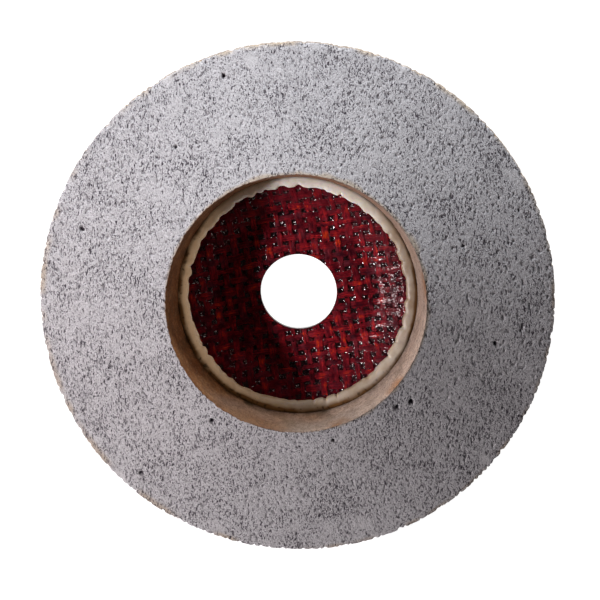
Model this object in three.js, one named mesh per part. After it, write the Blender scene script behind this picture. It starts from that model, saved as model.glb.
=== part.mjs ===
// A depressed-centre, conical abrasive disc for an angle grinder.
//
// Every piece is turned about the Z axis, in millimetres. The origin is the centre of the bore at the back of
// the hub, and +Z points out of the working face, towards the workpiece.

import * as THREE from 'three';

// ---- Driving dimensions (mm) ----

const DISC_RADIUS = 75;            // a 150 mm disc
const BORE_RADIUS = 22.23 / 2;     // the standard 7/8 inch grinder bore
const CONE_ANGLE = 15;             // slope of the working face, in degrees
const EDGE_THICKNESS = 4.0;        // the ring at its outer edge
const RING_FOOT_RADIUS = 34.7;     // inner wall of the ring, where it meets the plate
const RING_RIM_RADIUS = 37.7;      // inner wall of the ring, at the working face

const PLY_THICKNESS = 0.6;         // one pressed ply of glass mesh
const HUB_DEPTH = 4.8;             // how far the hub sits behind the flange
const HUB_FLAT_RADIUS = 22.8;      // where the hub's flat seat ends
const SLOPE_END_RADIUS = 31;       // where the slope out of the hub meets the flange
const CREASE_HALF_WIDTH = 0.6;     // each crease of the slope is eased over twice this
const PLATE_RADIUS = 73.5;         // the plate stays inside the ring's edge

const FILM_THICKNESS = 0.6;
const INNER_BEAD_RADIUS = 31.7;    // inner edge of the squeezed-out bead
const INNER_BEAD_HEIGHT = 1.7;
const INNER_BEAD_UNDERCUT = 0.3;   // how far the bead's foot sits back under its rounded side
const OUTER_BEAD_RADIUS = 74.6;
const OUTER_BEAD_HEIGHT = 1.3;

const HUB_PLY_CHAMFER = 0.4;
const CENTRE_RING_RADIUS = 17.5;
const COLLAR_WALL = 0.5;
const COLLARED_PLIES = 2;          // how many full plies the steel collar reaches through

const LABEL_INNER_RADIUS = 34;
const LABEL_OUTER_RADIUS = 62;
const LABEL_THICKNESS = 0.25;

const SEGMENTS = 64;               // facets round each turned piece
const CROWN_STEPS = 8;             // facets across the inner bead
const FILLET_STEPS = 3;            // facets across the outer bead

const ABRASIVE_GREY = 0x9b969c;
const ADHESIVE_CREAM = 0xd8cfbe;
const RESIN_RED = 0x5a1218;
const STEEL_GREY = 0xb8babd;
const PAPER_WHITE = 0xd9d6cf;

// ---- Heights that follow from them ----

const HUB_BACK = PLY_THICKNESS;    // back of the full plies, on top of the hub ply
const FULL_PLIES = 4;
const HUB_FRONT = HUB_BACK + FULL_PLIES * PLY_THICKNESS;
const FLANGE_BACK = HUB_BACK + HUB_DEPTH;
const FLANGE_FRONT = HUB_FRONT + HUB_DEPTH;
const RING_BACK = FLANGE_FRONT + FILM_THICKNESS;
const EDGE_FRONT = RING_BACK + EDGE_THICKNESS;
const CONE_RISE = (DISC_RADIUS - RING_RIM_RADIUS) * Math.tan(THREE.MathUtils.degToRad(CONE_ANGLE));
const RIM_FRONT = EDGE_FRONT + CONE_RISE;
const HUB_PLY_RADIUS = HUB_FLAT_RADIUS - CREASE_HALF_WIDTH;
const COLLAR_RADIUS = BORE_RADIUS + COLLAR_WALL;
const COLLAR_FRONT = HUB_BACK + COLLARED_PLIES * PLY_THICKNESS;

// ---- Helpers ----

/** Turns a profile of [radius, height] points, anticlockwise and not repeated at its end, about Z. */
function turned(profile) {
  const points = [...profile, profile[0]].map(([radius, height]) => new THREE.Vector2(radius, height));
  const geometry = new THREE.LatheGeometry(points, SEGMENTS);
  geometry.rotateX(Math.PI / 2);
  return geometry;
}

/** Points of an arc about [radius, height], from one angle to another in degrees. */
function arc([centreRadius, centreHeight], [radialSize, axialSize], from, to, steps) {
  const points = [];
  for (let i = 0; i <= steps; i += 1) {
    const angle = THREE.MathUtils.degToRad(from + ((to - from) * i) / steps);
    points.push([
      centreRadius + radialSize * Math.cos(angle),
      centreHeight + axialSize * Math.sin(angle),
    ]);
  }
  return points;
}

/**
 * The surface between two plies, from the bore outwards: a flat hub, a straight slope and a flat flange. Its
 * slope has the same radii at every level, so neighbouring plies meet face to face.
 */
function pressedSurface(level, innerRadius) {
  const hubHeight = HUB_BACK + level * PLY_THICKNESS;
  const flangeHeight = hubHeight + HUB_DEPTH;
  const creaseRise = (CREASE_HALF_WIDTH * HUB_DEPTH) / (SLOPE_END_RADIUS - HUB_FLAT_RADIUS);
  return [
    [innerRadius, hubHeight],
    [HUB_FLAT_RADIUS - CREASE_HALF_WIDTH, hubHeight],
    [HUB_FLAT_RADIUS + CREASE_HALF_WIDTH, hubHeight + creaseRise],
    [SLOPE_END_RADIUS - CREASE_HALF_WIDTH, flangeHeight - creaseRise],
    [SLOPE_END_RADIUS + CREASE_HALF_WIDTH, flangeHeight],
    [PLATE_RADIUS, flangeHeight],
  ];
}

/** One full ply, between pressed surfaces number level and level + 1. */
function fullPly(level, innerRadius) {
  const back = pressedSurface(level, innerRadius);
  const front = pressedSurface(level + 1, innerRadius);
  return turned([...back, ...front.reverse()]);
}

const group = new THREE.Group();

/** Adds a named piece with its own material. */
function addPiece(name, geometry, color, roughness, metalness = 0) {
  const material = new THREE.MeshStandardMaterial({ color, roughness, metalness });
  const mesh = new THREE.Mesh(geometry, material);
  mesh.name = name;
  group.add(mesh);
}

// ---- Abrasive ring ----

function abrasiveRing() {
  const corner = 0.5;
  const wallDraft = (RING_RIM_RADIUS - RING_FOOT_RADIUS) / (RIM_FRONT - RING_BACK);
  const slope = CONE_RISE / (DISC_RADIUS - RING_RIM_RADIUS);
  return turned([
    [RING_FOOT_RADIUS, RING_BACK],
    [PLATE_RADIUS, RING_BACK],
    [DISC_RADIUS - corner, RING_BACK],
    [DISC_RADIUS, RING_BACK + corner],
    [DISC_RADIUS, EDGE_FRONT - corner],
    [DISC_RADIUS - corner, EDGE_FRONT + corner * slope],
    [RING_RIM_RADIUS, RIM_FRONT],
    [RING_RIM_RADIUS - corner * wallDraft, RIM_FRONT - corner],
  ]);
}

addPiece('abrasive_ring', abrasiveRing(), ABRASIVE_GREY, 0.95);

// ---- Adhesive: the film under the ring, and what it squeezed out at both edges ----

function adhesiveFilm() {
  return turned([
    [RING_FOOT_RADIUS, FLANGE_FRONT],
    [PLATE_RADIUS, FLANGE_FRONT],
    [PLATE_RADIUS, RING_BACK],
    [RING_FOOT_RADIUS, RING_BACK],
  ]);
}

/** A rounded bead on the flange, up against the film's inner edge and the foot of the ring's wall. */
function innerAdhesiveBead() {
  const crownRadius = (INNER_BEAD_RADIUS + RING_FOOT_RADIUS) / 2;
  const halfWidth = (RING_FOOT_RADIUS - INNER_BEAD_RADIUS) / 2;
  const crownHeight = INNER_BEAD_HEIGHT - FILM_THICKNESS;
  const crown = arc([crownRadius, RING_BACK], [halfWidth, crownHeight], 0, 180, CROWN_STEPS);
  return turned([
    [INNER_BEAD_RADIUS + INNER_BEAD_UNDERCUT, FLANGE_FRONT],
    [RING_FOOT_RADIUS, FLANGE_FRONT],
    ...crown,
  ]);
}

/** A fillet in the corner between the plate's edge and the overhanging back of the ring. */
function outerAdhesiveBead() {
  const size = OUTER_BEAD_RADIUS - PLATE_RADIUS;
  const fillet = arc([PLATE_RADIUS, RING_BACK], [size, OUTER_BEAD_HEIGHT], 270, 360, FILLET_STEPS);
  return turned([...fillet, [PLATE_RADIUS, RING_BACK], [PLATE_RADIUS, FLANGE_FRONT]]);
}

addPiece('adhesive_film', adhesiveFilm(), ADHESIVE_CREAM, 0.6);
addPiece('inner_adhesive_bead', innerAdhesiveBead(), ADHESIVE_CREAM, 0.45);
addPiece('outer_adhesive_bead', outerAdhesiveBead(), ADHESIVE_CREAM, 0.6);

// ---- Backing plate: four full plies of glass mesh, and one on the hub's back ----

const pliesFromTheBack = ['back_mesh_ply', 'third_mesh_ply', 'second_mesh_ply', 'front_mesh_ply'];

pliesFromTheBack.forEach((name, level) => {
  const innerRadius = level < COLLARED_PLIES ? COLLAR_RADIUS : BORE_RADIUS;
  addPiece(name, fullPly(level, innerRadius), RESIN_RED, 0.25);
});

/** The reinforcing ply on the hub's back, with its hole round the centre ring. */
function hubPly() {
  return turned([
    [CENTRE_RING_RADIUS, 0],
    [HUB_PLY_RADIUS - HUB_PLY_CHAMFER, 0],
    [HUB_PLY_RADIUS, HUB_PLY_CHAMFER],
    [HUB_PLY_RADIUS, HUB_BACK],
    [CENTRE_RING_RADIUS, HUB_BACK],
  ]);
}

addPiece('hub_mesh_ply', hubPly(), RESIN_RED, 0.3);

// ---- Steel ring let into the hub's back, with a collar in the bore ----

function centreRing() {
  return turned([
    [BORE_RADIUS, 0],
    [CENTRE_RING_RADIUS, 0],
    [CENTRE_RING_RADIUS, HUB_BACK],
    [COLLAR_RADIUS, HUB_BACK],
    [COLLAR_RADIUS, COLLAR_FRONT],
    [BORE_RADIUS, COLLAR_FRONT],
  ]);
}

addPiece('centre_ring', centreRing(), STEEL_GREY, 0.35, 1);

// ---- Paper label on the back of the flange ----

function backLabel() {
  return turned([
    [LABEL_INNER_RADIUS, FLANGE_BACK - LABEL_THICKNESS],
    [LABEL_OUTER_RADIUS, FLANGE_BACK - LABEL_THICKNESS],
    [LABEL_OUTER_RADIUS, FLANGE_BACK],
    [LABEL_INNER_RADIUS, FLANGE_BACK],
  ]);
}

addPiece('back_label', backLabel(), PAPER_WHITE, 0.8);

export default group;
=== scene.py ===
"""A depressed-centre conical abrasive disc, dressed for rendering.

Lengths inside the functions are in millimetres; put_mesh() turns them into metres. The disc's axis is Z, its
working face looks up, and angles are measured from +X towards +Y.
"""

import math

import bpy
import numpy as np
from mathutils import Matrix, Vector, noise


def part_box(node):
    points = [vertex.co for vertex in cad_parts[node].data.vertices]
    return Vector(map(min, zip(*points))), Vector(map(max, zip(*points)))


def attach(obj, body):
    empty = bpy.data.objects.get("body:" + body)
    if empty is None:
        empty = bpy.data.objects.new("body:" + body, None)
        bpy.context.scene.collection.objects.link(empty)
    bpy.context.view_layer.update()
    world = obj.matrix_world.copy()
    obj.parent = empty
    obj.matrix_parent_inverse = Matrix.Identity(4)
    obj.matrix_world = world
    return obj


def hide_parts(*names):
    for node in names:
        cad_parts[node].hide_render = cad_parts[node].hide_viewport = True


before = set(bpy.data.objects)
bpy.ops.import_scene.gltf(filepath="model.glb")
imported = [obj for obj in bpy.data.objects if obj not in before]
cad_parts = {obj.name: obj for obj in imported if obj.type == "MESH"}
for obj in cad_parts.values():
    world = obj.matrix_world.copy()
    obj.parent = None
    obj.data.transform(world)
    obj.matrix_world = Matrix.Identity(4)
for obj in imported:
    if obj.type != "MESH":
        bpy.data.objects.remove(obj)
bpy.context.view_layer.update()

MM = 0.001
TURN = 2 * math.pi


# ---------------------------------------------------------------- the frame's sizes, in millimetres

def cad_profile(node):
    """Radius and height of every point of a CAD node."""
    points = np.array([v.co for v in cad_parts[node].data.vertices]) / MM
    return np.hypot(points[:, 0], points[:, 1]), points[:, 2]


def radii_at(node, height):
    """Smallest and largest radius of a CAD node's points at one height."""
    radius, z = cad_profile(node)
    level = radius[np.abs(z - height) < 0.02]
    return level.min(), level.max()


def cad_surface(node, pick):
    """Radii and heights of a turned CAD node's surface: its front with pick=max, its back with pick=min."""
    levels = {}
    for radius, z in zip(*cad_profile(node)):
        levels.setdefault(round(float(radius), 2), []).append(z)
    radii = sorted(levels)
    return radii, [pick(levels[r]) for r in radii]


def eased_height(radius, surface):
    """The height of a CAD surface at each radius, with its creases rounded off."""
    taps = (-0.4, -0.2, 0.0, 0.2, 0.4)
    return np.mean([np.interp(radius + tap, *surface) for tap in taps], axis=0)


def heights(node):
    """Lowest and highest z of a CAD node."""
    low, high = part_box(node)
    return low.z / MM, high.z / MM


RING_BACK, RIM_FRONT = heights("abrasive_ring")
FOOT_RADIUS = radii_at("abrasive_ring", RING_BACK)[0]
RIM_RADIUS = radii_at("abrasive_ring", RIM_FRONT)[0]
DISC_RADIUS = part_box("abrasive_ring")[1].x / MM
EDGE_FRONT = max(z for r, z in zip(*cad_profile("abrasive_ring")) if r > DISC_RADIUS - 0.05)

PLATE_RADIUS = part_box("front_mesh_ply")[1].x / MM


# ---------------------------------------------------------------- noise and mesh helpers

def smooth(value, low, high):
    """0 below low, 1 above high, and a smooth step between."""
    share = np.clip((value - low) / (high - low), 0, 1)
    return share * share * (3 - 2 * share)


def field(points, size, seed):
    """Smooth noise from about -1 to 1, with blobs about as large as size, a length or three of them.

    Each use has a seed of its own, so that no two patterns coincide.
    """
    shifted = points / np.array(size) + seed * np.array((17.3, 5.9, 11.7))
    return np.array([noise.noise(p) for p in shifted.tolist()])


def scatter(first, second, seed):
    """A number from 0 to 1 for each pair of whole numbers, the same every time."""
    wave = np.sin(first * 12.9898 + second * 78.233 + seed * 37.719) * 43758.5453
    return wave - np.floor(wave)


class Skin:
    """A closed turned surface, made of rows of points round Z with about the same spacing everywhere."""

    def __init__(self, stretches):
        """Each stretch is (start, end, spacing, name), and starts where the one before it ends.

        Start and end are a radius and a height. The last stretch ends where the first one starts.
        """
        radius, height, angle, normal, part, rows = [], [], [], [], [], []
        for start, end, spacing, name in stretches:
            start, end = np.array(start, float), np.array(end, float)
            length = np.linalg.norm(end - start)
            outward = np.array([end[1] - start[1], start[0] - end[0]]) / length
            steps = max(1, round(length / spacing))
            for step in range(steps):
                r, z = start + (end - start) * step / steps
                count = max(24, round(TURN * r / spacing))
                offset = (len(rows) * 0.618) % 1
                rows.append((len(radius), count))
                radius += [r] * count
                height += [z] * count
                angle += [TURN * (k + offset) / count for k in range(count)]
                normal += [outward] * count
                part += [name] * count
        self.radius, self.height, self.angle = np.array(radius), np.array(height), np.array(angle)
        self.normal, self.part, self.rows = np.array(normal), np.array(part), rows

    def points(self):
        """The points as x, y, z."""
        return np.stack([self.radius * np.cos(self.angle), self.radius * np.sin(self.angle), self.height], 1)

    def circle(self, radius):
        """Where each point would be on a flat circle, for noise that only varies round the disc."""
        return np.stack([np.cos(self.angle), np.sin(self.angle), 0 * self.angle], 1) * radius

    def on(self, *names):
        """Which points lie on the stretches of these names."""
        return np.isin(self.part, names)

    def facing(self, azimuth, low, high):
        """1 on the side at an azimuth in degrees, falling to 0 with the cosine of the angle from it."""
        return smooth(np.cos(self.angle - math.radians(azimuth)), low, high)

    def push(self, distance):
        """Moves each point outwards along the profile's normal."""
        self.radius = self.radius + self.normal[:, 0] * distance
        self.height = self.height + self.normal[:, 1] * distance

    def faces(self):
        """Triangles between each row and the next, and between the last and the first."""
        triangles = []
        for (a, count_a), (b, count_b) in zip(self.rows, self.rows[1:] + self.rows[:1]):
            i = j = 0
            while i < count_a or j < count_b:
                next_a = self.angle[a + i + 1] if i + 1 < count_a else self.angle[a] + TURN
                next_b = self.angle[b + j + 1] if j + 1 < count_b else self.angle[b] + TURN
                here_a, here_b = a + i % count_a, b + j % count_b
                if j >= count_b or (i < count_a and next_a <= next_b):
                    triangles.append((here_a, a + (i + 1) % count_a, here_b))
                    i += 1
                else:
                    triangles.append((here_a, b + (j + 1) % count_b, here_b))
                    j += 1
        return triangles


def put_mesh(name, skin, material, replaced, values=None):
    """Makes a piece from a skin. values holds numbers for each point, which its material reads by name."""
    mesh = bpy.data.meshes.new(name)
    mesh.from_pydata((skin.points() * MM).tolist(), [], skin.faces())
    mesh.materials.append(material)
    for key, numbers in (values or {}).items():
        layer = mesh.attributes.new(key, "FLOAT", "POINT")
        layer.data.foreach_set("value", np.asarray(numbers, np.float32))
    mesh.shade_smooth()
    piece = bpy.data.objects.new(name, mesh)
    bpy.context.scene.collection.objects.link(piece)
    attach(piece, "root")
    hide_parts(replaced)
    return piece


# ---------------------------------------------------------------- material helpers

def node(tree, kind, inputs=None, **settings):
    """Adds a shader node. inputs gives its sockets values, or the sockets that feed them."""
    made = tree.nodes.new(kind)
    for key, value in settings.items():
        setattr(made, key, value)
    for key, value in (inputs or {}).items():
        if isinstance(value, bpy.types.NodeSocket):
            tree.links.new(value, made.inputs[key])
        else:
            made.inputs[key].default_value = value
    return made


def mix(tree, share, first, second, blend="MIX"):
    """A colour between two others."""
    made = node(tree, "ShaderNodeMix", {0: share, 6: first, 7: second}, data_type="RGBA", blend_type=blend)
    return made.outputs[2]


def span(tree, value, low, high, to_low=0.0, to_high=1.0):
    """A number taken from one range to another, and kept inside it."""
    inputs = {0: value, 1: low, 2: high, 3: to_low, 4: to_high}
    return node(tree, "ShaderNodeMapRange", inputs).outputs[0]


def math_node(tree, operation, first, second):
    """A sum, product or other operation on two numbers."""
    return node(tree, "ShaderNodeMath", {0: first, 1: second}, operation=operation).outputs[0]


def value_of(tree, name):
    """A number that the mesh stores at its points."""
    return node(tree, "ShaderNodeAttribute", attribute_name=name).outputs["Fac"]


def place(tree, size, turn=0.0):
    """Object coordinates in millimetres, divided by three sizes and turned about Z."""
    where = node(tree, "ShaderNodeTexCoord").outputs["Object"]
    turned = node(tree, "ShaderNodeVectorRotate", {"Vector": where, "Angle": turn}).outputs[0]
    scale = tuple(1 / (MM * s) for s in size)
    return node(tree, "ShaderNodeVectorMath", {0: turned, 1: scale}, operation="MULTIPLY").outputs[0]


def speckle(tree, size, detail=2.0, turn=0.0, warp=0.0):
    """Noise from 0 to 1 with blobs of about the given sizes in millimetres."""
    vector = place(tree, size, turn)
    inputs = {"Vector": vector, "Scale": 1.0, "Detail": detail, "Distortion": warp}
    return node(tree, "ShaderNodeTexNoise", inputs).outputs["Fac"]


def new_material(name):
    """An empty node material with its Principled shader and its tree."""
    material = bpy.data.materials.new(name)
    material.use_nodes = True
    tree = material.node_tree
    return material, tree, tree.nodes["Principled BSDF"]


def feed(tree, shader, **sockets):
    """Links or sets the shader's sockets; an underscore in a name stands for a space."""
    for key, value in sockets.items():
        socket = shader.inputs[key.replace("_", " ")]
        if isinstance(value, bpy.types.NodeSocket):
            tree.links.new(value, socket)
        else:
            socket.default_value = value


def bump(tree, height, strength, distance, below=None):
    """A bump normal, on top of another one if given. distance is in millimetres."""
    inputs = {"Height": height, "Strength": strength, "Distance": distance * MM}
    if below is not None:
        inputs["Normal"] = below
    return node(tree, "ShaderNodeBump", inputs).outputs[0]


# ---------------------------------------------------------------- materials

def face_grey(tree, grain, glint, mottle):
    """The abrasive's grey: light and dark grains, cloudy patches, dusty places and beige edges."""
    cloud = speckle(tree, (26, 26, 26), detail=2)
    colour = mix(tree, span(tree, grain, 0.34, 0.66), (0.365, 0.348, 0.367, 1), (0.655, 0.626, 0.658, 1))
    colour = mix(tree, span(tree, glint, 0.58, 0.71, 0, 0.6), colour, (0.80, 0.765, 0.785, 1))
    colour = mix(tree, span(tree, mottle, 0.35, 0.6, 0.25, 0.0), colour, (0.39, 0.366, 0.384, 1))
    colour = mix(tree, span(tree, cloud, 0.42, 0.7, 0, 0.14), colour, (0.66, 0.625, 0.65, 1))
    colour = mix(tree, value_of(tree, "dust"), colour, (0.66, 0.63, 0.65, 1))
    return mix(tree, value_of(tree, "beige"), colour, (0.46, 0.345, 0.23, 1))


def wall_brown(tree, glint, mottle):
    """The stain on the ring's wall: resin brown with pale, rusty, gritty and scorched places, and painted
    shade near the rim on its lower side.
    """
    streak = speckle(tree, (6, 6, 4), detail=4)
    grit = speckle(tree, (0.7, 0.7, 0.9), detail=2)
    brown = mix(tree, span(tree, streak, 0.36, 0.66), (0.19, 0.056, 0.010, 1), (0.31, 0.125, 0.042, 1))
    brown = mix(tree, value_of(tree, "pale"), brown, (0.40, 0.335, 0.295, 1))
    brown = mix(tree, value_of(tree, "rust"), brown, (0.23, 0.085, 0.020, 1))
    brown = mix(tree, span(tree, grit, 0.55, 0.7, 0, 0.35), brown, (0.36, 0.22, 0.13, 1))
    brown = mix(tree, span(tree, grit, 0.46, 0.34, 0, 0.45), brown, (0.07, 0.028, 0.008, 1))
    brown = mix(tree, span(tree, glint, 0.45, 0.3, 0, 0.6), brown, (0.06, 0.03, 0.012, 1))
    brown = mix(tree, span(tree, mottle, 0.36, 0.6, 0.35, 0.0), brown, (0.075, 0.038, 0.016, 1))
    # Painted shade: the wall darkens near the rim on its lower side
    brown = mix(tree, value_of(tree, "lower_wall_shade"), brown, (0.06, 0.042, 0.030, 1))
    return mix(tree, value_of(tree, "scorch"), brown, (0.05, 0.03, 0.011, 1))


def dark_pores(tree, stain):
    """1 in a pore and 0 beside it: upright and leaning slots and fine ones, fewer on the wall and in dust."""
    density = span(tree, speckle(tree, (8, 11, 8), detail=2), 0.3, 0.7, 0.035, -0.035)
    upright = speckle(tree, (0.44, 1.6, 0.44), detail=1.0, turn=0.08, warp=0.45)
    leaning = speckle(tree, (0.42, 1.25, 0.42), detail=1.0, turn=-0.3, warp=0.6)
    fine = speckle(tree, (0.33, 0.55, 0.33), detail=1.0, turn=-0.1)
    dark = span(tree, math_node(tree, "SUBTRACT", upright, density), 0.63, 0.67)
    second = span(tree, math_node(tree, "SUBTRACT", leaning, density), 0.635, 0.68)
    dark = math_node(tree, "MAXIMUM", dark, math_node(tree, "MULTIPLY", second, 0.85))
    third = span(tree, math_node(tree, "SUBTRACT", fine, density), 0.61, 0.70)
    dark = math_node(tree, "MAXIMUM", dark, math_node(tree, "MULTIPLY", third, 0.95))
    dark = math_node(tree, "MULTIPLY", dark, span(tree, stain, 0, 1, 0.95, 0.12))
    dark = math_node(tree, "MULTIPLY", dark, span(tree, value_of(tree, "dust"), 0, 0.5, 1, 0.25))
    return math_node(tree, "MAXIMUM", dark, value_of(tree, "pore"))


def abrasive_material():
    """Porous abrasive: grey grains with dark pores, and a brown stain on the inner wall."""
    material, tree, shader = new_material("porous_abrasive")
    grain = speckle(tree, (0.36, 0.46, 0.36), detail=3)
    mottle = speckle(tree, (1.6, 2.8, 1.6), detail=3)
    glint = speckle(tree, (0.34, 0.4, 0.34), detail=1)
    stain = value_of(tree, "stain")
    colour = mix(tree, stain, face_grey(tree, grain, glint, mottle), wall_brown(tree, glint, mottle))
    dark = dark_pores(tree, stain)
    colour = mix(tree, dark, colour, (0.032, 0.022, 0.034, 1))
    relief = bump(tree, grain, 0.5, 0.22)
    relief = bump(tree, math_node(tree, "SUBTRACT", 1.0, dark), 0.5, 0.25, relief)
    feed(tree, shader, Base_Color=colour, Roughness=0.92, Specular_IOR_Level=0.25, Normal=relief)
    return material


def adhesive_material():
    """Cured cream adhesive: satin, brown and grimy in places, with painted shade on its shaded sides and in
    the crevice at the wall, and painted light on its top side.

    A faint glow of its own stands in for light that spreads through the adhesive.
    """
    material, tree, shader = new_material("cream_adhesive")
    cloud = speckle(tree, (5, 5, 5), detail=3)
    colour = mix(tree, span(tree, cloud, 0.35, 0.65), (0.60, 0.52, 0.42, 1), (0.74, 0.69, 0.61, 1))
    # Painted light: the bead turns whiter on its side towards +Y
    colour = mix(tree, value_of(tree, "painted_top_light"), colour, (0.90, 0.88, 0.84, 1))
    # Brown near the wall is partly the adhesive's own; the rest is painted shade on the bead's lower, left
    # and key-lit sides
    colour = mix(tree, value_of(tree, "brown_and_shade"), colour, (0.13, 0.062, 0.022, 1))
    # Grime is real dirt; on the inner bead it also carries painted shade in the crevice against the wall
    colour = mix(tree, value_of(tree, "grime"), colour, (0.022, 0.014, 0.006, 1))
    specks = span(tree, speckle(tree, (0.4, 0.4, 0.4), detail=1), 0.74, 0.78, 0, 0.85)
    colour = mix(tree, specks, colour, (0.08, 0.055, 0.04, 1))
    relief = bump(tree, speckle(tree, (0.9, 0.9, 0.9), detail=2), 0.2, 0.2)
    roughness = span(tree, cloud, 0.3, 0.7, 0.32, 0.5)
    feed(tree, shader, Base_Color=colour, Roughness=roughness, Specular_IOR_Level=0.09, Normal=relief)
    feed(tree, shader, Subsurface_Weight=0.4, Subsurface_Radius=(1.2, 0.9, 0.5), Subsurface_Scale=MM)
    # Painted light: the adhesive glows, most on the side that the wall shades from the key light
    glow = mix(tree, value_of(tree, "glow"), (0.16, 0.085, 0.04, 1), (1.0, 0.62, 0.33, 1))
    glow = mix(tree, value_of(tree, "brown_and_shade"), glow, (0.12, 0.05, 0.015, 1))
    glow = mix(tree, value_of(tree, "grime"), glow, (0, 0, 0, 1))
    feed(tree, shader, Emission_Color=glow, Emission_Strength=0.22)
    return material


def yarn_fibres(tree):
    """Fine streaks along the yarn that is on top."""
    along_warp = speckle(tree, (0.32, 3.2, 1.0), detail=2, turn=-WEAVE_TURN)
    along_weft = speckle(tree, (3.2, 0.32, 1.0), detail=2, turn=-WEAVE_TURN)
    inputs = {0: value_of(tree, "warp"), 2: along_weft, 3: along_warp}
    return node(tree, "ShaderNodeMix", inputs).outputs[0]


def laminate_colour(tree, yarn, fibres, blotch):
    """Dark resin in the mesh's openings, and yarns from wine red to orange, float by float; the orange is
    partly the yarns' own colour and partly painted light shining through them.
    """
    under = value_of(tree, "under")
    cloud = speckle(tree, (5, 5, 5), detail=3)
    painted_sheen = speckle(tree, (3.5, 3.5, 3.5), detail=3, warp=0.4)
    tone = math_node(tree, "MULTIPLY", value_of(tree, "tone"), span(tree, fibres, 0.32, 0.6, 0.6, 1.1))
    tone = math_node(tree, "MULTIPLY", tone, span(tree, cloud, 0.32, 0.58, 0.55, 1.1))
    tone = math_node(tree, "MULTIPLY", tone, span(tree, blotch, 0.35, 0.62, 0.55, 1.25))

    cell = mix(tree, under, (0.006, 0.0, 0.002, 1), (0.055, 0.002, 0.005, 1))
    wine = mix(tree, span(tree, tone, 0.05, 0.42), (0.042, 0.002, 0.008, 1), (0.46, 0.015, 0.027, 1))
    wine = mix(tree, math_node(tree, "MULTIPLY", under, 0.25), wine, (0.36, 0.012, 0.022, 1))
    # Painted sheen: a purple veil like the gloss's reflection, laid in random patches
    wine = mix(tree, span(tree, painted_sheen, 0.50, 0.68, 0, 0.5), wine, (0.20, 0.040, 0.062, 1))
    # Partly painted light: the brightest floats turn red and orange, as where light shines through the yarns
    wine = mix(tree, span(tree, tone, 0.40, 0.58), wine, (0.62, 0.026, 0.020, 1))
    wine = mix(tree, span(tree, tone, 0.58, 0.78), wine, (0.85, 0.06, 0.013, 1))
    colour = mix(tree, yarn, cell, wine)
    shade = span(tree, fibres, 0.3, 0.7, 0.55, 0.0)
    colour = mix(tree, math_node(tree, "MULTIPLY", shade, yarn), colour, (0.06, 0.001, 0.005, 1))
    # Painted shade on the front ply towards the ring's wall; the other plies are evenly darker
    colour = mix(tree, value_of(tree, "darkened_and_recess_shade"), colour, (0.035, 0.001, 0.005, 1))
    return mix(tree, value_of(tree, "cut"), colour, (0.05, 0.006, 0.008, 1))


def laminate_relief(tree, yarn, fibres, blotch):
    """The resin's wavy surface, liveliest in the mesh's openings, with fibres along the yarns."""
    open_resin = span(tree, yarn, 0.2, 0.9, 1.0, 0.15)
    menisci = speckle(tree, (1.6, 1.6, 1.6), detail=1.5, warp=0.3)
    drops = node(tree, "ShaderNodeTexVoronoi", {"Vector": place(tree, (1.15, 1.0, 1.0)), "Scale": 1.0})
    relief = bump(tree, menisci, open_resin, 0.35)
    relief = bump(tree, drops.outputs["Distance"], open_resin, 0.6, relief)
    relief = bump(tree, fibres, math_node(tree, "MULTIPLY", yarn, 0.35), 0.12, relief)
    return bump(tree, blotch, 0.3, 0.15, relief)


def laminate_material():
    """Glass mesh in red resin: yarns of uneven brightness over dark resin, under a patchy clear gloss."""
    material, tree, shader = new_material("red_mesh_laminate")
    cut = value_of(tree, "cut")
    fibres = yarn_fibres(tree)
    blotch = speckle(tree, (1.3, 1.3, 1.3), detail=4, warp=0.5)
    ragged = math_node(tree, "ADD", value_of(tree, "yarn"), span(tree, blotch, 0.3, 0.7, -0.35, 0.35))
    yarn = span(tree, ragged, 0.2, 0.8)
    colour = laminate_colour(tree, yarn, fibres, blotch)
    relief = laminate_relief(tree, yarn, fibres, blotch)
    roughness = math_node(tree, "MAXIMUM", span(tree, blotch, 0.35, 0.65, 0.42, 0.7), cut)
    wet = span(tree, speckle(tree, (1.0, 1.0, 1.0), detail=1), 0.38, 0.50, 0.15, 1.0)
    coat = math_node(tree, "MULTIPLY", wet, span(tree, yarn, 0.1, 0.9, 0.55, 0.04))
    coat = math_node(tree, "MULTIPLY", coat, span(tree, cut, 0, 1, 1, 0))
    feed(tree, shader, Base_Color=colour, Roughness=roughness, Specular_IOR_Level=0.02, Normal=relief)
    feed(tree, shader, Coat_Weight=coat, Coat_Roughness=0.15, Coat_IOR=1.6, Coat_Normal=relief)
    return material


def axis_distance(tree):
    """The distance from the disc's axis, in millimetres."""
    where = node(tree, "ShaderNodeTexCoord").outputs["Object"]
    inputs = {0: where, 1: (1 / MM, 1 / MM, 0)}
    flat = node(tree, "ShaderNodeVectorMath", inputs, operation="MULTIPLY").outputs[0]
    return node(tree, "ShaderNodeVectorMath", {0: flat}, operation="LENGTH").outputs["Value"]


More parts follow.
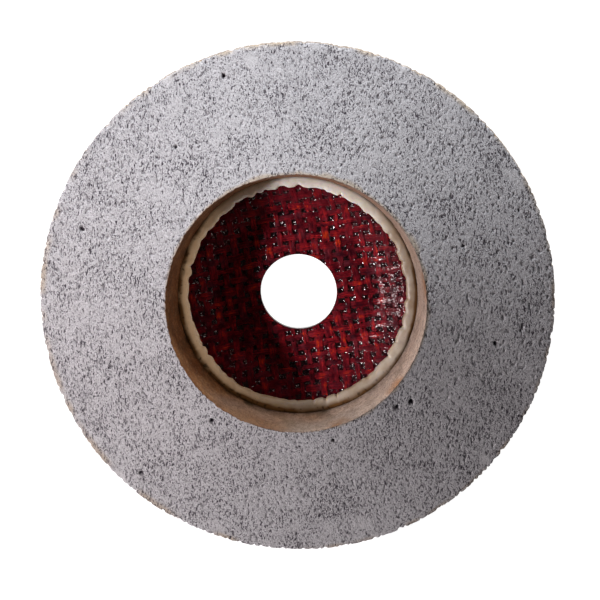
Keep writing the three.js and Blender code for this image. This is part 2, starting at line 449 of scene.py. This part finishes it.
def steel_material():
    """Pressed sheet steel: dulled, with turning marks round the bore, and resin run over its outer edge."""
    material, tree, shader = new_material("pressed_steel")
    cloud = speckle(tree, (5, 5, 5), detail=3)
    marks = node(tree, "ShaderNodeTexNoise", {"W": axis_distance(tree), "Scale": 5.0, "Detail": 3.0},
                 noise_dimensions="1D").outputs["Fac"]
    scratch = speckle(tree, (0.12, 7, 1), detail=1, turn=0.6)
    colour = mix(tree, span(tree, cloud, 0.3, 0.7), (0.46, 0.45, 0.44, 1), (0.60, 0.59, 0.58, 1))
    colour = mix(tree, span(tree, marks, 0.5, 0.3, 0, 0.45), colour, (0.26, 0.25, 0.245, 1))
    colour = mix(tree, span(tree, scratch, 0.62, 0.68, 0, 0.4), colour, (0.78, 0.77, 0.76, 1))
    colour = mix(tree, value_of(tree, "resin"), colour, (0.10, 0.012, 0.010, 1))
    metal = span(tree, value_of(tree, "resin"), 0.2, 0.8, 1.0, 0.0)
    relief = bump(tree, scratch, 0.2, 0.05)
    relief = bump(tree, marks, 0.5, 0.06, relief)
    roughness = span(tree, cloud, 0.3, 0.7, 0.32, 0.46)
    feed(tree, shader, Base_Color=colour, Metallic=metal, Roughness=roughness, Normal=relief)
    return material


def printed_line(tree, radius, middle, width):
    """1 on a line printed round the axis, and 0 off it."""
    away = math_node(tree, "ABSOLUTE", math_node(tree, "SUBTRACT", radius, middle), 0.0)
    return span(tree, away, width / 2 - 0.06, width / 2 + 0.06, 1.0, 0.0)


def label_material():
    """Plain paper, grimy and rubbed, with two plain printed lines round it and no text."""
    material, tree, shader = new_material("plain_label_paper")
    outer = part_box("back_label")[1].x / MM
    band_radius, band_width = outer - 5.6, 3.0
    hairline_radius, hairline_width = outer - 8.4, 0.5
    fibre = speckle(tree, (0.35, 0.9, 0.35), detail=4)
    grime = speckle(tree, (9, 9, 9), detail=6)
    smudge = speckle(tree, (1.4, 1.4, 1.4), detail=5)
    radius = axis_distance(tree)
    colour = mix(tree, span(tree, fibre, 0.3, 0.7), (0.50, 0.475, 0.42, 1), (0.64, 0.615, 0.56, 1))
    hairline = printed_line(tree, radius, hairline_radius, hairline_width)
    ink = math_node(tree, "MAXIMUM", printed_line(tree, radius, band_radius, band_width), hairline)
    ink = math_node(tree, "MULTIPLY", ink, span(tree, smudge, 0.60, 0.70, 0.95, 0.35))
    colour = mix(tree, ink, colour, (0.045, 0.085, 0.14, 1))
    colour = mix(tree, span(tree, grime, 0.46, 0.68, 0, 0.45), colour, (0.30, 0.25, 0.19, 1))
    colour = mix(tree, span(tree, smudge, 0.56, 0.72, 0, 0.35), colour, (0.24, 0.20, 0.16, 1))
    colour = mix(tree, value_of(tree, "hollow"), colour, (0.26, 0.21, 0.17, 1))
    relief = bump(tree, fibre, 0.3, 0.08)
    feed(tree, shader, Base_Color=colour, Roughness=0.75, Normal=relief)
    return material


# ---------------------------------------------------------------- the glass mesh

WEAVE_TURN = math.radians(9)       # the front ply's rows rise this much towards +X
UNDER_TURN = math.radians(-15)     # the ply beneath lies at another angle
BACK_TURN, BACK_UNDER_TURN = math.radians(24), math.radians(-8)
HUB_TURN, HUB_UNDER_TURN = math.radians(40), math.radians(10)
FRONT_SEED, BACK_SEED, HUB_SEED = 1, 11, 31
PITCH_X, PITCH_Y = 3.4, 3.2        # yarn spacing
YARN_WIDTH = 2.2
CRIMP = 0.08                       # how far a yarn rises and falls over its neighbours
YARN_HEIGHT = 0.15                 # how far its middle stands over its edges
CELL_DEPTH = 0.33                  # the resin's level in the mesh's openings


def weave(points, turn, seed):
    """The mesh's height, how far inside a yarn, each float's brightness, and whether a warp yarn is on top.

    Each warp yarn is a pair of strands, and each weft yarn three flatter ones.
    """
    x = points[:, 0] * math.cos(turn) + points[:, 1] * math.sin(turn)
    y = points[:, 1] * math.cos(turn) - points[:, 0] * math.sin(turn)
    flat = points * (1, 1, 0)
    x = x + 0.9 * field(flat, 14, seed) + 0.3 * field(flat, 2.6, seed + 1)
    y = y + 0.9 * field(flat, 14, seed + 2) + 0.3 * field(flat, 2.6, seed + 3)
    column, row = np.round(x / PITCH_X), np.round(y / PITCH_Y)
    swelling = 0.2 * field(flat, 1.9, seed + 11)
    half_warp = YARN_WIDTH / 2 * (0.72 + 0.5 * scatter(column, 0, seed) + swelling)
    half_weft = YARN_WIDTH / 2 * (0.72 + 0.5 * scatter(0, row, seed + 1) - swelling)
    across_warp = (x - column * PITCH_X) / half_warp
    across_weft = (y - row * PITCH_Y) / half_weft
    pair = 0.45 * (1 - across_warp ** 2) + 0.55 * (1 - (2 * np.abs(across_warp) - 1) ** 2)
    strands = (1 - across_weft ** 2) * (0.85 + 0.15 * np.cos(3 * math.pi * across_weft))
    warp = CRIMP * np.cos(math.pi * (y / PITCH_Y + column)) + YARN_HEIGHT * pair
    weft = YARN_HEIGHT * strands - CRIMP * np.cos(math.pi * (x / PITCH_X + row))
    warp_on_top = warp > weft
    height = np.maximum(warp, weft)
    inside = np.where(warp_on_top, 1 - np.abs(across_warp), 1 - np.abs(across_weft))
    along = np.abs(np.where(warp_on_top, y / PITCH_Y - row, x / PITCH_X - column)) * 2
    number = scatter(column * 2 + warp_on_top, row * 2 + ~warp_on_top, seed)
    local = np.stack([x, y, 0 * x], 1)
    warp_runs, weft_runs = field(local, (2.6, 10, 1), seed + 9), field(local, (10, 2.6, 1), seed + 12)
    patch = 0.3 * number + 0.7 * smooth(np.where(warp_on_top, warp_runs, weft_runs), -0.3, 0.45)
    middle = (1 - smooth(along, 0.3, 1.0)) * smooth(inside, -0.1, 0.6)
    # Painted shade: each float's brightness drops in the grooves between its strands
    ridge = np.where(warp_on_top, pair, 0.5 + 0.5 * np.cos(3 * math.pi * across_weft))
    tone = (middle * patch + (1 - middle) * 0.3) * (0.6 + 0.4 * np.clip(ridge, 0, 1))
    return height, np.clip(inside, -1, 1), tone, warp_on_top.astype(float)


def mesh_relief(points, turn, under_turn, seed):
    """Depth of the resin-filled mesh under the tops of its yarns, and the numbers its material reads."""
    height, inside, tone, warp = weave(points, turn, seed)
    _, below_inside, _, _ = weave(points, under_turn, seed + 7)
    below = smooth(below_inside, 0.0, 0.5)
    flat = points * (1, 1, 0)
    bubbles = smooth(field(flat, 0.8, seed + 4), 0.1, 0.5)
    ripple = 0.05 * field(flat, 1.6, seed + 5) - 0.14 * bubbles
    filled = 0.13 * smooth(field(flat, 6, seed + 8), 0.0, 0.5)
    resin = 0.08 * below - CELL_DEPTH + YARN_HEIGHT + filled + ripple
    top = CRIMP + YARN_HEIGHT
    sharpness = 12
    level = np.log(np.exp(sharpness * height) + np.exp(sharpness * resin)) / sharpness
    depth = np.clip(level - top, -0.55, 0)
    values = {
        "yarn": smooth(inside + 1.6 * filled, -0.05, 0.45),
        "under": below * smooth(field(flat, 5, seed + 6), -0.3, 0.4),
        "tone": tone,
        "warp": warp,
        "cut": np.zeros(len(points)),
        # Evenly darker plies; the front ply's value is set again in ply_piece
        "darkened_and_recess_shade": np.full(len(points), 0.45),
    }
    return depth, values


# ---------------------------------------------------------------- the pieces

def ply_piece(name, material, woven=0, fine=0.24, seed=1, hidden=None):
    """A full ply. woven is +1 or -1 for the side whose mesh shows; it is coarse between the hidden radii."""
    bore = radii_at(name, heights(name)[0])[0]
    coarse = 1.8
    cuts = sorted({bore, PLATE_RADIUS, *(hidden or ())})
    back, front = [], []
    for inner, outer in zip(cuts, cuts[1:]):
        covered = hidden is not None and inner >= hidden[0] - 0.01 and outer <= hidden[1] + 0.01
        shown = coarse if covered else fine
        back.append(((inner, 0), (outer, 0), shown if woven < 0 else coarse, "back"))
        front.insert(0, ((outer, 1), (inner, 1), shown if woven > 0 else coarse, "front"))
    edge = [((PLATE_RADIUS, 0), (PLATE_RADIUS, 1), 0.5, "edge")]
    bore_wall = [((bore, 1), (bore, 0), 0.3, "bore")]
    skin = Skin(back + edge + front + bore_wall)
    up = skin.height
    back_height = eased_height(skin.radius, cad_surface(name, min))
    front_height = eased_height(skin.radius, cad_surface(name, max))
    skin.height = back_height + up * (front_height - back_height)
    skin.normal = np.stack([0 * up, np.where(up > 0.5, 1.0, -1.0)], 1)
    turn, under = (WEAVE_TURN, UNDER_TURN) if woven > 0 else (BACK_TURN, BACK_UNDER_TURN)
    depth, values = mesh_relief(skin.points(), turn, under, seed)
    side = "front" if woven > 0 else "back"
    skin.push(np.where(skin.on(side) & (woven != 0), depth, 0.0))
    values["cut"] = skin.on("bore", "edge").astype(float)
    if woven > 0:
        # Painted shade: darker from the hub's crease up to the ring's wall, where the recess is shaded
        values["darkened_and_recess_shade"] = 0.08 + 0.4 * smooth(skin.radius + field(skin.points(), 9, seed + 10), 23.0, 29.0)
    fray = 0.12 * field(skin.points(), 0.7, seed + 9) - 0.12
    skin.radius = skin.radius + np.where(skin.on("edge"), fray, 0.0)
    return put_mesh(name + "_cloth", skin, material, name, values)


def hub_ply_piece(material):
    """The reinforcing ply on the hub's back, with its mesh on the side that shows."""
    name = "hub_mesh_ply"
    low, high = heights(name)
    inner, outer = radii_at(name, high)
    back_outer = radii_at(name, low)[1]
    skin = Skin([
        ((inner, low), (back_outer, low), 0.24, "back"),
        ((back_outer, low), (outer, low + (outer - back_outer)), 0.24, "back"),
        ((outer, low + (outer - back_outer)), (outer, high), 0.3, "edge"),
        ((outer, high), (inner, high), 1.8, "front"),
        ((inner, high), (inner, low), 0.3, "bore"),
    ])
    depth, values = mesh_relief(skin.points(), HUB_TURN, HUB_UNDER_TURN, HUB_SEED)
    skin.push(np.where(skin.on("back"), 0.8 * depth, 0.0))
    return put_mesh(name + "_cloth", skin, material, name, values)


BIG_PITS = (        # radius, angle in degrees and size of the few large pits in the working face
    (65.7, 162, 1.0), (68.6, 108, 0.8), (42.6, 235, 1.0), (69.3, 229, 0.8), (51.2, 19, 0.8),
    (44.4, -41, 0.9), (42.4, -46, 0.7), (42.0, -75, 0.8), (59.0, -12, 0.8), (57.0, 128, 0.7),
)


def pits(points):
    """How deep inside a large pit each point is, from 0 to 1."""
    depth = np.zeros(len(points))
    uneven = 0.5 * field(points, 0.9, 15)
    for radius, angle, size in BIG_PITS:
        x = radius * math.cos(math.radians(angle))
        y = radius * math.sin(math.radians(angle))
        distance = np.hypot(points[:, 0] - x, (points[:, 1] - y) * 0.85) / size
        depth = np.maximum(depth, 1 - smooth(distance + uneven, 0.4, 0.75))
    return depth


def abrasive_skin():
    """The ring's outline: across its back, up its thin edge, in over its face and down its wall."""
    corner = 0.5
    slope = (RIM_FRONT - EDGE_FRONT) / (DISC_RADIUS - RIM_RADIUS)
    foot, rim = (FOOT_RADIUS, RING_BACK), (RIM_RADIUS, RIM_FRONT)
    plate_edge, back_edge = (PLATE_RADIUS, RING_BACK), (DISC_RADIUS - corner, RING_BACK)
    side_low, side_high = (DISC_RADIUS, RING_BACK + corner), (DISC_RADIUS, EDGE_FRONT)
    face_edge = (DISC_RADIUS - corner, EDGE_FRONT + corner * slope)
    return Skin([
        (foot, plate_edge, 2.5, "back"),
        (plate_edge, back_edge, 0.7, "back"),
        (back_edge, side_low, 0.6, "side"),
        (side_low, side_high, 0.45, "side"),
        (side_high, face_edge, 0.3, "face"),
        (face_edge, rim, 0.38, "face"),
        (rim, foot, 0.45, "wall"),
    ])


def open_pores(skin, points):
    """Presses grain, pores and pits into the ring. Returns its pores, its pits and the dust on its face."""
    on_face = skin.on("face")
    bent = points + np.stack([0.5 * field(points, 5, 1), 0.5 * field(points, 5, 2), 0 * points[:, 2]], 1)
    pore = smooth(field(bent, (0.55, 1.25, 0.55), 3), 0.34, 0.6)
    large = pits(points) * on_face
    grain, wave = field(points, 0.8, 4), field(points, 9, 5)
    dust = smooth(field(points, 6, 6), 0.3, 0.6) * smooth(skin.radius, 60, 72) * on_face
    open_share = np.where(skin.on("face", "side"), 1.0, 0.25) * (1 - 0.7 * dust)
    depth = 0.03 * (1 + grain) + 0.05 * (1 + wave) + 0.22 * pore * open_share + 0.8 * large
    skin.push(-np.where(skin.on("back"), 0.0, depth))
    return pore * open_share, large, dust


def fray_edges(skin, points, around):
    """Chips the ring's outer edge, and frays the rim between its face and its wall."""
    outermost = smooth(skin.radius, DISC_RADIUS - 1.4, DISC_RADIUS - 0.2)
    chips = 0.4 * smooth(field(around, 1.1, 7), 0.0, 0.5) + 0.14 * (1 + field(around, 14, 8))
    chips = chips + 0.3 * smooth(field(points, 0.7, 34), 0.1, 0.5)
    skin.radius = skin.radius - chips * outermost * skin.on("side", "face")
    near_rim = 1 - smooth(np.hypot(skin.radius - RIM_RADIUS, skin.height - RIM_FRONT), 0.2, 0.9)
    frayed = 0.3 * smooth(field(points, 0.9, 17), 0.0, 0.5) + 0.1 * (1 + field(around, 5, 18))
    frayed = frayed - 0.3 * skin.facing(135, 0.3, 1.0)
    skin.radius = skin.radius + frayed * near_rim * skin.on("wall", "face")


def beige_share(skin, around):
    """How beige the ring is: round the rim of its face, and along its outer edge."""
    upper_right = 0.5 + 0.5 * np.cos(skin.angle - math.radians(35))
    halo_width = 0.4 + upper_right * (0.8 + 1.4 * smooth(field(around, 9, 9), -0.2, 0.5))
    halo = (1 - smooth((skin.radius - RIM_RADIUS) / halo_width, 0.3, 1.0)) * skin.on("face")
    lip = 1.5 + 0.9 * skin.facing(190, 0.0, 0.8)
    edge = smooth(skin.radius, DISC_RADIUS - lip, DISC_RADIUS - 0.4 * lip)
    edge = edge * smooth(field(around, 6, 10), -0.3, 0.4)
    return np.clip(0.7 * halo + 0.6 * edge + 0.6 * skin.on("side"), 0, 0.8)


def wall_stains(skin, points, around):
    """Numbers for the wall's stain: rusty near the rim, scorched at the foot, pale on one side, and painted
    shade near the rim on the lower side.
    """
    on_wall = skin.on("wall")
    from_rim = np.where(on_wall, (RIM_FRONT - skin.height) / (RIM_FRONT - RING_BACK), 0.0)
    pale_side = 0.6 * np.cos(skin.angle - math.radians(-20)) + 0.35 * field(points, 10, 11)
    foot_line = smooth(from_rim + 0.06 * field(points, 3, 12), 0.74, 0.92)
    scorch = foot_line * smooth(field(around, 7, 13), -0.1, 0.45) * on_wall
    patches = 0.5 * smooth(field(points, 6, 14), 0.1, 0.5) * smooth(from_rim, 0.15, 0.5) * on_wall
    ragged = 0.35 * field(points, 2.2, 22) + 0.15 * field(points, 0.8, 32)
    near_rim = 1 - smooth(from_rim + 0.3 * ragged, 0.1, 0.5)
    rust = smooth(field(around, 16, 16) + ragged, 0.0, 0.6) * near_rim * on_wall
    return {
        "stain": on_wall.astype(float),
        "scorch": np.clip(0.6 * scorch + 0.6 * patches, 0, 1),
        "rust": 0.8 * rust,
        "pale": 0.65 * smooth(pale_side, -0.25, 0.5) * on_wall,
        # Painted shade near the rim on the lower side of the wall
        "lower_wall_shade": 0.45 * skin.facing(265, 0.45, 1.0) * (1 - smooth(from_rim, 0.2, 0.9)) * on_wall,
    }


def abrasive_piece(material):
    """The ring: porous conical face, tapered stained wall, ragged thin edge."""
    skin = abrasive_skin()
    points, around = skin.points(), skin.circle(DISC_RADIUS)
    pore, large, dust = open_pores(skin, points)
    fray_edges(skin, points, around)
    # Darker patches over the ring's outer edge
    edge_darkening = 0.2 + 0.35 * smooth(field(points, 4, 19), -0.2, 0.5)
    values = wall_stains(skin, points, around)
    values["pore"] = np.clip(pore * 0.55 + large * 1.3 + edge_darkening * skin.on("side"), 0, 1)
    values["dust"] = dust * 0.5
    values["beige"] = beige_share(skin, around)
    return put_mesh("porous_ring", skin, material, "abrasive_ring", values)


def shape_bead(skin, inner, height):
    """Scallops the bead's inner edge, domes its top and lets it wet the wall.

    Returns how far each point lies from the wall: 0 at the wall's foot, and 1 at the inner edge.
    """
    around = skin.circle(inner)
    _, over_yarn, _, _ = weave(around, WEAVE_TURN, FRONT_SEED)
    notches = 1 - smooth(np.abs(field(around, 4.5, 20)), 0.0, 0.24)
    notched = 0.4 + 0.6 * smooth(field(around, 11, 36), -0.3, 0.2)
    lobes = 0.12 * smooth(over_yarn, -0.9, 0.9) + 0.6 * notches * notched + 0.35 * field(around, 2.4, 37)
    wider = 0.40 + 0.2 * np.cos(skin.angle) - 0.3 * np.sin(skin.angle) - 0.2 * field(around, 9, 21)
    held_back = np.clip(lobes - wider, -0.6, 0.9)
    share = (FOOT_RADIUS - skin.radius) / (FOOT_RADIUS - inner)
    skin.radius = FOOT_RADIUS - share * (FOOT_RADIUS - inner - held_back)

    on_crown = skin.on("crown")
    over_arc = 0.12 + 0.88 * share
    dome = np.sqrt(np.clip(1 - (2 * over_arc - 1) ** 2, 0, 1))
    rise = (height - 0.35) * (0.84 + 0.16 * field(around, 5, 23))
    lumps = 0.05 * field(skin.points(), 1.3, 24) * smooth(share, 0.05, 0.3)
    skin.height = skin.height + np.where(on_crown, dome * (rise + lumps), 0.0)
    wall_draft = (RIM_RADIUS - FOOT_RADIUS) / (RIM_FRONT - RING_BACK)
    into_wall = 0.12 + wall_draft * np.clip(skin.height - RING_BACK, 0, None)
    skin.radius = skin.radius + np.where(on_crown, into_wall * (1 - smooth(share, 0.0, 0.2)), 0.0)
    return share


def bead_values(skin, share, inner):
    """Numbers for the bead's colour, from each point's direction and its distance from the wall.

    The sides are fitted to the photo, so part of this stands in for its light and not for the adhesive's
    own colour: facing_key darkens the side that the key light strikes hardest.
    """
    around, points = skin.circle(inner), skin.points()
    lower, upper, left = skin.facing(275, 0.3, 1.0), skin.facing(85, 0.3, 1.0), skin.facing(205, 0.2, 0.9)
    facing_key = skin.facing(8, 0.75, 1.0)
    dirt = smooth(field(around, 6, 25), -0.3, 0.5)
    # Painted shade: the brown reaches further from the wall on the lower-left side, where the bead is shaded
    brown_and_shade_reach = 0.22 + 0.12 * dirt + 0.3 * skin.facing(235, -0.3, 0.6)
    brown_and_shade = (0.45 + 0.55 * dirt) * (1 - smooth(share, 0.05, brown_and_shade_reach))
    # Painted light and shade: less brown on the top side, more on the left side that the wall shades
    brown_and_shade = brown_and_shade * (1 - 0.8 * upper) + 0.45 * left * (1 - smooth(share, 0.15, 0.6)) + 0.08 * left
    # Painted shade: browner where the key light strikes hardest, to damp its brightness; the noise is the
    # adhesive's own
    brown_and_shade = brown_and_shade + 0.55 * facing_key + 0.12 * smooth(field(points, 1.7, 35), 0.0, 0.5)
    # Painted shade: the inner edge darkens, except on the top side
    inner_edge_shade = 0.3 * smooth(share, 0.75, 1.0) * (1 - upper)
    # Painted shade: a dark line in the crevice where the bead meets the wall, fainter on the top side
    crevice = (0.4 + 0.6 * smooth(field(around, 4, 31), -0.2, 0.3)) * (1 - smooth(share, 0.02, 0.2))
    crevice = crevice * (1 - 0.5 * upper)
    spots = smooth(field(points, 0.8, 33), 0.2, 0.45) * (1 - smooth(share, 0.2, 0.45))
    spots = spots * np.maximum(left, lower)
    return {
        # Partly the adhesive's own brown, partly painted shade on the lower side and at the inner edge
        "brown_and_shade": np.clip(0.85 * brown_and_shade + 0.35 * lower + inner_edge_shade, 0, 1),
        # Partly painted shade from the crevice at the wall, partly dark grime spots
        "grime": 0.9 * np.maximum(crevice, 0.8 * spots),
        # Painted light: the glow is strongest on the left side, which the wall shades from the key light
        "glow": skin.facing(200, 0.2, 0.9),
        # Painted light: whiter on the side towards +Y, at 92 degrees
        "painted_top_light": 0.9 * skin.facing(92, 0.6, 0.97),
    }


def bead_piece(material):
    """The adhesive squeezed out at the foot of the ring's wall."""
    name = "inner_adhesive_bead"
    low, high = heights(name)
    inner = cad_profile(name)[0].min()
    brow = low + 0.3
    skin = Skin([
        ((inner, low), (FOOT_RADIUS, low), 0.5, "under"),
        ((FOOT_RADIUS, low), (FOOT_RADIUS, brow), 0.25, "back"),
        ((FOOT_RADIUS, brow), (inner, brow), 0.2, "crown"),
        ((inner, brow), (inner, low), 0.15, "crown"),
    ])
    share = shape_bead(skin, inner, high - low)
    values = bead_values(skin, share, inner)
    return put_mesh("squeezed_out_bead", skin, material, name, values)


def film_piece(material):
    """The adhesive under the ring, whose outer edge shows."""
    name = "adhesive_film"
    low, high = heights(name)
    inner, outer = radii_at(name, low)
    skin = Skin([
        ((inner, low), (outer, low), 3, "back"),
        ((outer, low), (outer, high), 0.4, "edge"),
        ((outer, high), (inner, high), 3, "front"),
        ((inner, high), (inner, low), 0.6, "edge"),
    ])
    values = {"brown_and_shade": 0.5 + 0 * skin.radius, "grime": 0 * skin.radius, "glow": 0 * skin.radius}
    return put_mesh("adhesive_layer", skin, material, name, values)


def outer_bead_piece(material):
    """The uneven fillet of adhesive between the plate's edge and the back of the ring."""
    name = "outer_adhesive_bead"
    low, high = heights(name)
    inner, outer = radii_at(name, high)
    steps = 6
    curve = [
        (inner + (outer - inner) * math.cos(a), high + (high - low) * math.sin(a))
        for a in (math.radians(-90 + 90 * k / steps) for k in range(steps + 1))
    ]
    corners = curve + [(inner, high)]
    stretches = [(a, b, 0.35, "fillet") for a, b in zip(corners, corners[1:])]
    skin = Skin(stretches + [((inner, high), curve[0], 0.4, "inside")])
    lumps = 0.5 + 0.5 * smooth(field(skin.points(), 3.0, 26), -0.5, 0.6)
    skin.radius = inner + (skin.radius - inner) * lumps
    dust = smooth(field(skin.points(), 5, 27), -0.3, 0.5)
    values = {"brown_and_shade": 0.35 + 0.4 * dust, "grime": 0.25 * dust, "glow": 0 * dust}
    return put_mesh("rim_squeeze_out", skin, material, name, values)


def centre_ring_piece(material):
    """The pressed steel ring: rounded stamped edges, faint dishing, and a collar in the bore."""
    name = "centre_ring"
    low, high = heights(name)
    bore, outer = radii_at(name, low)
    back_high = sorted(set(np.round(cad_profile(name)[1], 3)))[1]
    collar = radii_at(name, high)[1]
    soft, bore_soft = 0.12, 0.25
    skin = Skin([
        ((bore + bore_soft, low), (outer - soft, low), 0.3, "face"),
        ((outer - soft, low), (outer, low + soft), 0.12, "face"),
        ((outer, low + soft), (outer, back_high), 0.3, "edge"),
        ((outer, back_high), (collar, back_high), 1.0, "front"),
        ((collar, back_high), (collar, high), 0.4, "collar"),
        ((collar, high), (bore, high), 0.25, "collar"),
        ((bore, high), (bore, low + bore_soft), 0.3, "collar"),
        ((bore, low + bore_soft), (bore + bore_soft, low), 0.12, "face"),
    ])
    dish = 0.03 * (1 + np.sin(skin.radius * 9)) + 0.02 * (1 + field(skin.points(), 3, 28))
    skin.height = skin.height + np.where(skin.on("face"), dish, 0.0)
    flash = smooth(skin.radius + 0.5 * field(skin.points(), 2, 29), outer - 0.55, outer - 0.15)
    return put_mesh("stamped_centre_ring", skin, material, name, {"resin": flash})


def label_piece(material):
    """The paper ring on the back, with the mesh faintly pressed through it and a slightly torn edge."""
    name = "back_label"
    low, high = heights(name)
    inner, outer = radii_at(name, low)
    skin = Skin([
        ((inner, low), (outer, low), 0.5, "paper"),
        ((outer, low), (outer, high), 0.25, "edge"),
        ((outer, high), (inner, high), 3, "glued"),
        ((inner, high), (inner, low), 0.25, "edge"),
    ])
    depth, _ = mesh_relief(skin.points(), BACK_TURN, BACK_UNDER_TURN, BACK_SEED)
    pressed = 0.3 * np.clip(depth, -0.4, 0)
    skin.height = skin.height - np.where(skin.on("paper"), pressed, 0.0)
    torn = 0.25 * (1 + field(skin.points(), 1.5, 30))
    skin.radius = skin.radius - torn * smooth(skin.radius, outer - 0.8, outer)
    values = {"hollow": smooth(-depth, 0.1, 0.5) * 0.4}
    return put_mesh("plain_back_label", skin, material, name, values)


def build_disc():
    """All the pieces, from the back to the front."""
    laminate, adhesive = laminate_material(), adhesive_material()
    centre_ring_piece(steel_material())
    hub_ply_piece(laminate)
    label_edges = radii_at("back_label", heights("back_label")[0])
    under_label = (label_edges[0] + 0.5, label_edges[1] - 1.5)
    under_ring = (FOOT_RADIUS + 0.4, PLATE_RADIUS)
    ply_piece("back_mesh_ply", laminate, woven=-1, fine=0.34, seed=BACK_SEED, hidden=under_label)
    ply_piece("third_mesh_ply", laminate, seed=12)
    ply_piece("second_mesh_ply", laminate, seed=13)
    ply_piece("front_mesh_ply", laminate, woven=1, fine=0.23, seed=FRONT_SEED, hidden=under_ring)
    label_piece(label_material())
    film_piece(adhesive)
    bead_piece(adhesive)
    outer_bead_piece(adhesive)
    abrasive_piece(abrasive_material())


# ---------------------------------------------------------------- floor, lights and camera

def direction(azimuth, elevation):
    """A unit vector; azimuth from +X towards +Y, both in degrees."""
    a, e = math.radians(azimuth), math.radians(elevation)
    return Vector((math.cos(e) * math.cos(a), math.cos(e) * math.sin(a), math.sin(e)))


def floor():
    """A large pale floor that glows a little, as a light table does."""
    half = 3.0
    mesh = bpy.data.meshes.new("floor")
    corners = [(-half, -half, 0), (half, -half, 0), (half, half, 0), (-half, half, 0)]
    mesh.from_pydata(corners, [], [(0, 1, 2, 3)])
    material, tree, shader = new_material("pale_floor")
    feed(tree, shader, Base_Color=(0.3, 0.3, 0.3, 1), Roughness=0.8)
    feed(tree, shader, Emission_Color=(1, 1, 1, 1), Emission_Strength=1.0)
    mesh.materials.append(material)
    plane = bpy.data.objects.new("floor", mesh)
    bpy.context.scene.collection.objects.link(plane)


def lamp(name, shape, location, facing, size, power, colour):
    """An area light."""
    light = bpy.data.lights.new(name, "AREA")
    light.shape = shape
    light.size = size
    light.energy = power
    light.color = colour
    made = bpy.data.objects.new(name, light)
    made.location = location
    made.rotation_mode = "QUATERNION"
    made.rotation_quaternion = facing.to_track_quat("-Z", "Y")
    bpy.context.scene.collection.objects.link(made)
    return made


def softbox(name, azimuth, elevation, distance, size, power, colour):
    """A square light that faces the disc."""
    towards = direction(azimuth, elevation)
    return lamp(name, "SQUARE", towards * distance, -towards, size, power, colour)


def lights():
    """A key from the left, a low cool softbox, a weak fill, and the light table's glow through the bore.

    The glint light stands where the key does and shows only in reflections; the fill doesn't show in them.
    """
    key_place = (193, 33.5, 0.6, 0.065)     # azimuth, elevation, distance and size
    softbox("left_key", *key_place, 3.25, (0.985, 0.935, 0.932))
    softbox("glint_light", *key_place, 10.0, (1.0, 0.90, 0.91)).visible_diffuse = False
    softbox("top_softbox", 97, 8.0, 0.7, 0.14, 6.9, (0.91, 0.975, 1.0))
    softbox("right_fill", 35, 24, 0.8, 0.2, 0.2, (1.0, 0.93, 0.90)).visible_glossy = False
    hub_front = cad_surface("front_mesh_ply", max)[1][0]
    bore_radius = radii_at("front_mesh_ply", heights("front_mesh_ply")[0])[0]
    bore_glow = Vector((0, 0, hub_front)) * MM
    lamp("bore_glow", "DISK", bore_glow, Vector((0, 0, 1)), 1.9 * bore_radius * MM, 0.008, (1.0, 0.95, 0.88))
    world = bpy.data.worlds.new("studio")
    world.use_nodes = True
    background = world.node_tree.nodes["Background"]
    background.inputs["Color"].default_value = (1, 1, 1, 1)
    background.inputs["Strength"].default_value = 0.05
    bpy.context.scene.world = world


def camera():
    """A long lens almost straight above the working face, leaning a little towards +Y."""
    lean_azimuth, lean = 76.5, 10.5
    distance = 2.6
    frame_width = 174.4 * MM
    aim = Vector((0.75, -1.0, 11.0)) * MM
    data = bpy.data.cameras.new("camera")
    data.sensor_width = 36
    data.lens = data.sensor_width * distance / frame_width
    data.dof.use_dof = False
    data.clip_start, data.clip_end = 0.05, 20
    eye = bpy.data.objects.new("camera", data)
    back = direction(lean_azimuth, 90 - lean)
    right = Vector((0, 1, 0)).cross(back).normalized()
    up = back.cross(right)
    turn = Matrix((right, up, back)).transposed().to_4x4()
    eye.matrix_world = Matrix.Translation(aim + back * distance) @ turn
    bpy.context.scene.collection.objects.link(eye)
    bpy.context.scene.camera = eye


bpy.context.scene.view_settings.view_transform = "Standard"
camera()
lights()
floor()
build_disc()
